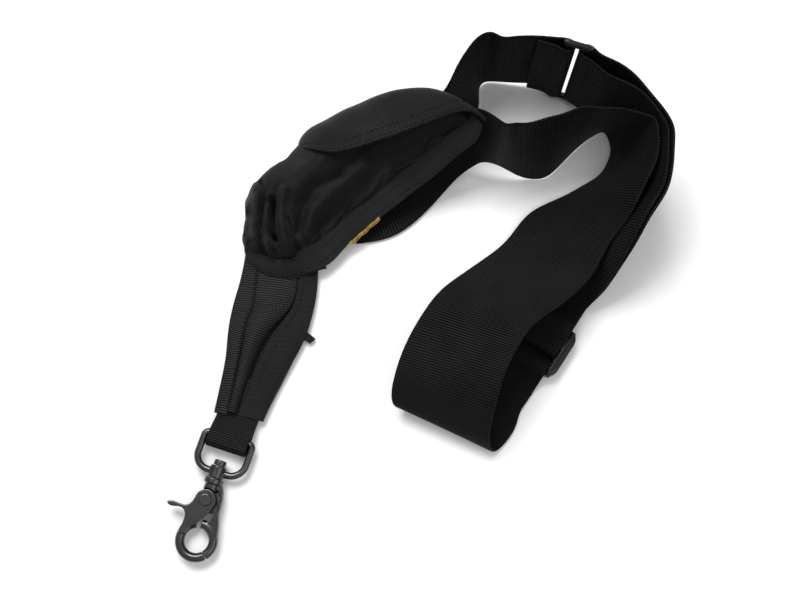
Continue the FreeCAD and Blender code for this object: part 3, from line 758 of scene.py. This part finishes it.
def make_tab():
    for name, rows, material, thick, node in (
            ("tab_left_side", TAB_LEFT, TAB_WEAVE, 1.5, "tab_left_fold"),
            ("tab_rolled_middle", TAB_CORE, TAB_WEAVE, 1.6, "tab_core"),
            ("tab_right_side", TAB_RIGHT, BINDING, 1.6, "tab_right_fold"),
            ("tab_under_layer", TAB_BASE, TAB_WEAVE, 2.2, "tab_base"),
            ("tab_side_stub", TAB_STUB, BINDING, 2.0, "")):
        stations = between(rows)
        obj = strap(name, stations, 0, len(stations) - 1, material, thick, 1.2, 0.09)
        belongs(obj, "root", "webbing", *filter(None, [node]))
    for name, rows, share in (
            ("left", TAB_LEFT, 0.86), ("right_inner", TAB_RIGHT, 0.3), ("right_outer", TAB_RIGHT, 0.84)):
        stitch_seam("tab_stitches_" + name, edge_line(between(rows), share, SEAM_LIFT), "webbing")


# ---------------------------------------------------------------- pouch

# Distance along the pouch, near edge of the pocket, its far edge, and its height above the back sheet
POCKET = [
    (-21.0, 28.5, 31.0, 2.5), (-19.0, 26.0, 34.5, 6.0), (-16.7, 22.8, 37.5, 9.0), (-13.5, 18.0, 41.0, 12.0),
    (-9.0, 13.6, 44.8, 14.0), (-2.4, 10.9, 48.2, 15.5), (7.0, 10.5, 51.0, 17.0), (18.0, 10.2, 51.2, 18.0),
    (30.0, 9.9, 50.6, 18.5), (45.0, 9.0, 50.2, 18.0), (60.0, 7.7, 46.8, 16.5), (72.0, 6.2, 42.0, 14.0),
    (84.0, 4.2, 34.5, 11.0), (92.0, 2.4, 26.0, 7.5), (98.0, 0.4, 17.0, 4.0)]

POCKET_ROWS, POCKET_COLS = 170, 120

# Ridges (+) and valleys (-) of the gathered cloth: height, width, points
CREASES = [
    (4.5, 3.2, [(-17, 25), (-13, 30), (-8, 35.5), (0, 44), (1, 50)]),
    (-5.0, 1.5, [(-14.2, 24), (-9.5, 31), (-4.4, 35.6), (2.2, 42), (5, 49)]),
    (5.0, 2.0, [(-12.6, 20.5), (-9.6, 26.4), (-2.8, 34.6), (3.6, 39.2)]),
    (-9.0, 2.6, [(-6.8, 24.5), (-2.6, 30.0), (2.6, 35.8)]),
    (-4.0, 1.6, [(-9.6, 19.5), (-6.8, 24.5)]),
    (4.6, 2.3, [(-5.8, 14.5), (-4.2, 19.0), (-0.4, 26), (4.6, 32.6), (10, 36)]),
    (-3.6, 1.1, [(-1.8, 12.3), (-0.7, 17), (2.6, 24.6)]),
    (-4.2, 3.0, [(4.5, 19), (12, 26), (23, 29), (36, 25)]),
    (3.2, 3.0, [(6, 15), (16, 20.5), (30, 22), (50, 20.2)]),
    (-1.8, 2.6, [(14, 14.5), (34, 16.5), (62, 14)]),
    (1.6, 4.0, [(12, 34), (26, 37), (40, 34)]),
    (-1.7, 2.4, [(52, 20.5), (76, 13), (92, 6)])]


def pouch_floor(x):
    """Height of the pouch's back: it rises over the standing webbing towards its upper end."""
    return 5.2 + 31 * (max(x, 0) / 98) ** 2.6


def line_distance(x, y, points):
    """Shortest plan distance from a place to a line of points."""
    best = 1e9
    for (x0, y0), (x1, y1) in zip(points, points[1:]):
        dx, dy = x1 - x0, y1 - y0
        t = max(0.0, min(1.0, ((x - x0) * dx + (y - y0) * dy) / (dx * dx + dy * dy)))
        best = min(best, math.hypot(x - x0 - t * dx, y - y0 - t * dy))
    return best


def pocket_base(rows, cols):
    """Plain rounded shape of the pocket in pouch millimetres."""
    table = np.array(POCKET)
    xs = np.linspace(table[0, 0], table[-1, 0], rows)
    sections = natural_spline(table[:, 1:], table[:, 0], xs)
    grid = np.zeros((rows, cols, 3))
    for i, x in enumerate(xs):
        near, far, height = sections[i]
        for j in range(cols):
            share = j / (cols - 1)
            y = near + (far - near) * (1 - math.cos(math.pi * share)) / 2
            power = 1.15 if share < 0.5 else 0.62
            rise = math.sin(math.pi * share) ** power if 0 < share < 1 else 0.0
            grid[i, j] = (x, y, pouch_floor(x) + 1.0 + height * rise)
    return grid


def settle(grid, pressure, slack, cap):
    """Short cloth run with the rim held: the sheet fills out and its spare cloth starts to buckle."""
    rows, cols = grid.shape[:2]
    faces = [(i * cols + j, (i + 1) * cols + j, (i + 1) * cols + j + 1, i * cols + j + 1)
             for i in range(rows - 1) for j in range(cols - 1)]
    mesh = bpy.data.meshes.new("trial_cloth")
    mesh.from_pydata((grid.reshape(-1, 3) * MM).tolist(), [], faces)
    trial = bpy.data.objects.new("trial_cloth", mesh)
    bpy.context.scene.collection.objects.link(trial)
    rim = trial.vertex_groups.new(name="rim")
    rim.add([i * cols + j for i in range(rows) for j in range(cols)
             if i in (0, rows - 1) or j in (0, cols - 1)], 1.0, "REPLACE")
    cloth = trial.modifiers.new("cloth", "CLOTH")
    cloth.settings.vertex_group_mass = "rim"
    cloth.settings.quality = 6
    cloth.settings.mass = 0.3
    cloth.settings.bending_stiffness = 0.6
    cloth.settings.shrink_min = -slack
    cloth.settings.use_pressure = True
    cloth.settings.uniform_pressure_force = pressure
    cloth.settings.effector_weights.gravity = 0
    cloth.point_cache.frame_start = 1
    cloth.point_cache.frame_end = 20
    for number in range(1, 21):
        bpy.context.scene.frame_set(number)
    final = trial.evaluated_get(bpy.context.evaluated_depsgraph_get()).to_mesh()
    spots = np.empty(len(final.vertices) * 3)
    final.vertices.foreach_get("co", spots)
    move = spots.reshape(grid.shape) / MM - grid
    length = np.linalg.norm(move, axis=2)[:, :, None]
    bpy.data.objects.remove(trial, do_unlink=True)
    bpy.context.scene.frame_set(1)
    return grid + move * np.minimum(1.0, cap / np.maximum(length, 1e-9))


def refine(grid, rows, cols):
    """Smooth grid with more rows and columns through a coarse one."""
    where = np.linspace(0, grid.shape[0] - 1, rows)
    long_way = natural_spline(grid.reshape(grid.shape[0], -1), range(grid.shape[0]), where)
    grid = long_way.reshape(rows, grid.shape[1], 3).transpose(1, 0, 2)
    where = np.linspace(0, grid.shape[0] - 1, cols)
    short_way = natural_spline(grid.reshape(grid.shape[0], -1), range(grid.shape[0]), where)
    return short_way.reshape(cols, rows, 3).transpose(1, 0, 2).copy()


def pocket_surface(rows, cols):
    """Grid of the pocket's cloth with its gathers, in pouch millimetres."""
    base = refine(settle(pocket_base(48, 34), 4.0, 0.05, 3.0), rows, cols)
    for i in range(rows):
        for j in range(cols):
            x, y = base[i, j, 0], base[i, j, 1]
            share = j / (cols - 1)
            soft = min(1.0, math.sin(math.pi * share) * 2.2) * min(1.0, i / 12)
            crease = sum(h * math.exp(-(line_distance(x, y, line) / w) ** 2) for h, w, line in CREASES)
            ripple = noise.noise(Vector((x, y, 3)) / 16) * 1.1 + noise.noise(Vector((x, y, 9)) / 6) * 0.35
            base[i, j, 2] += soft * (crease + ripple)
    return base


def cut_size(grid):
    """Mean width and mean length of a grid of points, measured along its cloth, in metres."""
    across = np.mean([running(line)[-1] for line in grid])
    along = np.mean([running(line)[-1] for line in np.swapaxes(grid, 0, 1)])
    return float(across) * MM, float(along) * MM


def to_layout(grid):
    flat = [pouch_xyz(*p) for p in grid.reshape(-1, 3)]
    return np.array(flat).reshape(grid.shape)


def smooth_rows(grid, turns):
    """Evens out a grid a little, keeping its rim."""
    for _ in range(turns):
        inner = (grid[:-2, 1:-1] + grid[2:, 1:-1] + grid[1:-1, :-2] + grid[1:-1, 2:]) / 4
        grid[1:-1, 1:-1] = grid[1:-1, 1:-1] * 0.5 + inner * 0.5
    return grid


FLAP_FREE = [
    (30.6, 47.5, 22.5), (33.4, 42, 29), (38.7, 33.6, 32.6), (47.2, 27.8, 34.2), (62.1, 20.5, 37),
    (80.1, 12.6, 41), (92, 7.2, 44.3), (98.6, 2.6, 46.2), (102.2, -2.6, 45.6), (103.2, -6.2, 42.6)]
FLAP_BACK = [
    (30.2, 49.6, 15), (34, 53.4, 14), (41, 54.6, 13), (50, 53, 13.6), (63, 49, 17), (77, 42, 23),
    (90, 31.5, 30), (98, 19, 34), (102.6, 5, 37), (104.2, -4.6, 39.5)]


def flap_surface(rows=110, cols=48):
    """Grid of the flap's cloth in pouch millimetres, from the back line to the free edge."""
    free = np.array(FLAP_FREE)
    back = np.array(FLAP_BACK)
    where = np.linspace(0, len(free) - 1, rows)
    free = natural_spline(free, range(len(free)), where)
    back = natural_spline(back, range(len(back)), where)
    grid = np.zeros((rows, cols, 3))
    for i in range(rows):
        run = i / (rows - 1)
        reach = free[i] - back[i]
        flat = Vector((reach[0], reach[1], 0)).length
        bulge = min(1.0, flat / 22)
        first = back[i] + np.array([-reach[0] * 0.06, -reach[1] * 0.06, 15.5 * bulge + 1.0])
        second = free[i] - reach * 0.42 + np.array([0, 0, 6.0 * bulge])
        for j in range(cols):
            t = j / (cols - 1)
            a, b, c, d = (1 - t) ** 3, 3 * t * (1 - t) ** 2, 3 * t * t * (1 - t), t ** 3
            point = a * back[i] + b * first + c * second + d * free[i]
            inside = math.sin(math.pi * t) * math.sin(math.pi * run)
            ripple = noise.noise(Vector((point[0], point[1], 5)) / 17) * 1.5
            ripple += noise.noise(Vector((point[0], point[1], 1)) / 7) * 0.45
            point[2] += ripple * min(1.0, inside * 2)
            grid[i, j] = point
    return grid


def strip_of(grid, offset):
    """Normals of a grid, and the grid moved along them."""
    normal = np.cross(np.gradient(grid, axis=0), np.gradient(grid, axis=1))
    normal /= np.maximum(np.linalg.norm(normal, axis=2), 1e-9)[:, :, None]
    normal *= np.sign(normal[:, :, 2:3]) + (normal[:, :, 2:3] == 0)
    return grid + normal * offset, normal


def rim_stitches(name, grid, normal, back, thick, body, **style):
    """A row of stitches at a fixed distance inside the last column of a grid."""
    points, ups = [], []
    for i in range(2, grid.shape[0] - 2):
        column = grid[i][::-1]
        stops = running(column)
        if stops[-1] < back * 1.3:
            continue
        spot = np.array([np.interp(back, stops, column[:, k]) for k in range(3)])
        up = np.array([np.interp(back, stops, normal[i][::-1][:, k]) for k in range(3)])
        points.append(spot + up * thick / 2)
        ups.append(up)
    return belongs(stitches(name, points, ups, THREAD, **style), body, "pouch_cloth")


def make_pocket():
    grid = to_layout(smooth_rows(pocket_surface(POCKET_ROWS, POCKET_COLS), 2))
    obj = sheet_grid("pouch_pocket_cloth", grid, CORDURA, 0.9)
    belongs(obj, "root", "pouch_cloth", "pouch_pocket")
    flat = cut_size(pocket_base(POCKET_ROWS, POCKET_COLS))
    return grid


def make_flap():
    grid = to_layout(smooth_rows(flap_surface(), 4))
    _, normal = strip_of(grid, 0)
    obj = sheet_grid("pouch_flap_cloth", grid, CORDURA, 1.5)
    belongs(obj, "flap", "pouch_cloth", "pouch_flap")
    rows = [rim_stitches(f"flap_stitches_{number}", grid, normal, back, 1.5, "flap")
            for number, back in enumerate((2.0, 6.5))]
    return grid


def make_tapes(pocket, flap):
    """Touch-close tape sewn on the pocket, and its partner under the flap."""
    for name, grid, rows, cols, side, body, node in (
            ("tape_on_pocket", pocket, (112, 146), (60, 78), 1, "root", "pocket_tape"),
            ("tape_under_flap", flap, (46, 78), (16, 32), -1, "flap", "flap_tape")):
        part = grid[rows[0]:rows[1], cols[0]:cols[1]]
        moved, _ = strip_of(part, side * 1.15)
        belongs(sheet_grid(name, moved, TAPE, 0.9), body, "touch_tape", node)


# Distance along the pouch, near edge of the back sheet, its far edge
BACK = [
    (-22.6, 17.0, 30.0), (-18, 8.4, 37), (-6.2, 1.4, 46.6), (3, -1.6, 50.2),
    (11.4, -1.6, 51.8), (20.2, -0.3, 52.3),
    (39.4, -1, 53.6), (58.3, -2.8, 49.4), (70, -4.4, 44.8), (79.3, -5.5, 39.8), (90, -7.3, 30.6),
    (97, -8.4, 21.4), (101.6, -6, 9)]


def pouch_strip(name, rows, material, thick, *nodes, pitch=1.1, depth=0):
    """Ribbon over rows of (x, near y, near z, far x, far y, far z, crown) in pouch millimetres."""
    placed = []
    for x0, y0, z0, x1, y1, z1, crown in rows:
        placed.append(pouch_xyz(x0, y0, z0) + pouch_xyz(x1, y1, z1) + (crown,))
    stations = between(placed)
    obj = strap(name, stations, 0, len(stations) - 1, material, thick, pitch, depth)
    return belongs(obj, "root", "pouch_cloth", *nodes), stations


def make_back():
    rows = [(x, near, pouch_floor(x), x, far, pouch_floor(x), 0) for x, near, far in BACK]
    back, _ = pouch_strip("pouch_back_cloth", rows, CORDURA, 1.0, "pouch_back")
    table = np.array(POCKET)
    flange = []
    for x, near, _ in BACK[2:]:
        seam = np.interp(x, table[:, 0], table[:, 1]) + 1.0
        wave = 0.25 * math.sin(x / 7)
        flange.append((x, near - 0.2, pouch_floor(x) + 1.3 + wave, x, seam, pouch_floor(x) + 2.0, 0.35))
    edge, stations = pouch_strip("pouch_flange", flange, BINDING, 1.3)
    for number, share in enumerate((0.2, 0.62)):
        points = []
        for x, y, z, bearing, lean, width, _ in stations:
            turn, tilt = math.radians(bearing), math.radians(lean)
            run = width * share
            flat = run * math.cos(tilt)
            points.append((x + flat * math.cos(turn), y + flat * math.sin(turn),
                           z + run * math.sin(tilt) + 0.95))
        fine = natural_spline(points, running(points), np.linspace(1, running(points)[-1] - 1, 120))
        stitch_seam(f"flange_stitches_{number}", fine, "pouch_cloth")
    return back, edge


HEM_LEFT = [
    (-23.4, 27.5, 5.0, -20.0, 30.6, 8.4, 0.8), (-23.2, 19, 4.6, -17.4, 24.4, 8.6, 0.9),
    (-21, 11.8, 4.6, -14.6, 18.8, 8.8, 0.9), (-17.2, 7.0, 4.8, -11.0, 14.2, 9.0, 0.9)]
HEM_RIGHT = [
    (-18.0, 7.6, 4.6, -12.0, 14.6, 8.6, 0.9), (-12, 4.0, 4.6, -7.4, 12.2, 8.4, 0.9),
    (-6, 0.9, 4.8, -2.6, 10.2, 8.2, 0.8), (-0.5, -1.2, 5.2, 3.0, 8.2, 8.0, 0.7),
    (3.2, -3.2, 5.6, 7.4, 6.4, 8.0, 0.6)]


def make_hem():
    left, _ = pouch_strip("pouch_hem_left", HEM_LEFT, BINDING, 1.5, "pouch_hem")
    right, _ = pouch_strip("pouch_hem_right", HEM_RIGHT, BINDING, 1.5, "pouch_hem")
    for name, rows in (("left", HEM_LEFT), ("right", HEM_RIGHT)):
        placed = [pouch_xyz(*row[:3]) + pouch_xyz(*row[3:6]) + (row[6],) for row in rows]
        for number, share in enumerate((0.8, 0.2)):
            line = edge_line(between(placed), share, SEAM_LIFT)
            stitch_seam(f"hem_stitches_{name}_{number}", line, "pouch_cloth")
    return [left, right]


def make_label():
    rows = []
    for x, skew in ((20.5, 0.1), (24, -0.35), (27, 0.1), (30, -0.3), (33, 0.25), (36, -0.1), (39.5, 0.2)):
        floor = pouch_floor(x)
        rows.append((x, -2.0 + skew, floor + 0.7, x, -0.5 + skew * 0.5, floor + 1.9, 0.1))
    obj, _ = pouch_strip("edge_label_gold", rows, GOLD, 0.7, "edge_label", pitch=0.9, depth=0.06)
    return obj


# ---------------------------------------------------------------- hardware

def cast(node, body, material, voxel, turns, name, slot):
    """Rounded casting over a CAD node: same shape, with its edges softened."""
    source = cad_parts[node]
    obj = bpy.data.objects.new(name, source.data.copy())
    bpy.context.scene.collection.objects.link(obj)
    remesh = obj.modifiers.new("even", "REMESH")
    remesh.mode = "VOXEL"
    remesh.voxel_size = voxel * MM
    soften = obj.modifiers.new("soften", "SMOOTH")
    soften.factor = 0.5
    soften.iterations = turns
    apply_modifiers(obj)
    obj.data.polygons.foreach_set("use_smooth", [True] * len(obj.data.polygons))
    paint(obj, material)
    belongs(obj, body, slot, node)


def repaint(node, material):
    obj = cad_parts[node]
    if not obj.material_slots:
        obj.data.materials.append(material)
    for place in obj.material_slots:
        place.material = material


def make_hardware():
    cast("hook_body", "hook", HOOK_BLACK, 0.22, 10, "hook_body_cast", "hook_metal")
    cast("hook_lever", "lever", HOOK_BLACK, 0.22, 10, "hook_lever_cast", "hook_metal")
    cast("swivel_eye", "eye", HOOK_BLACK, 0.22, 6, "swivel_eye_cast", "hook_metal")
    cast("loop_ring", "ring", MOULDED, 0.3, 4, "loop_ring_moulded", "moulding")
    cast("slider_frame", "slider", MOULDED, 0.3, 6, "slider_moulded", "moulding")
    cast("hook_rivet", "hook", PIN_BLACK, 0.15, 6, "hook_rivet_domed", "pin_steel")
    for node in ("swivel_pin", "side_pins", "lever_spring"):
        repaint(node, PIN_BLACK)


# ---------------------------------------------------------------- stage

def area_light(name, place, target, size, power, colour=(1, 1, 1)):
    data = bpy.data.lights.new(name, "AREA")
    data.shape = "RECTANGLE"
    data.size, data.size_y = size
    data.energy = power
    data.color = colour
    obj = bpy.data.objects.new(name, data)
    obj.location = place
    obj.rotation_euler = (Vector(target) - Vector(place)).to_track_quat("-Z", "Y").to_euler()
    bpy.context.scene.collection.objects.link(obj)


FLOOR_REACH = 3000


def make_stage():
    corners = [(x * FLOOR_REACH, y * FLOOR_REACH, -0.4) for x, y in ((-1, -1), (1, -1), (1, 1), (-1, 1))]
    floor = mesh_object("floor", corners, [(0, 1, 2, 3)], smooth=False)
    paint(floor, floor_material())
    world = bpy.data.worlds.new("studio")
    world.use_nodes = True
    tree = world.node_tree
    split = tree.nodes.new("ShaderNodeSeparateXYZ")
    tree.links.new(tree.nodes.new("ShaderNodeTexCoord").outputs["Generated"], split.inputs[0])
    sky = colour_ramp(tree, split.outputs[2], (0.1, 0.1, 0.1), (1, 1, 1), 0.1, 0.65)
    tree.links.new(sky, tree.nodes["Background"].inputs[0])
    tree.nodes["Background"].inputs[1].default_value = 0.62
    bpy.context.scene.world = world
    area_light("key", (-0.25, 0.55, 0.95), (0, 0, 0), (0.7, 0.5), 13.0)
    area_light("fill", (0.5, -0.45, 0.9), (0, 0, 0), (0.8, 0.8), 3.0)
    bpy.context.scene.view_settings.view_transform = "Standard"


def make_camera():
    data = bpy.data.cameras.new("camera")
    data.lens = 48.6
    data.sensor_width = 36
    camera = bpy.data.objects.new("camera", data)
    camera.location = at(0, -135.2, 522.8)
    camera.rotation_euler = (math.radians(14.5), 0, 0)
    bpy.context.scene.collection.objects.link(camera)
    bpy.context.scene.camera = camera


make_camera()
make_stage()
make_straps()
make_narrow()
make_tab()
make_tapes(make_pocket(), make_flap())
back, flange = make_back()
hems = make_hem()
label = make_label()
make_hardware()
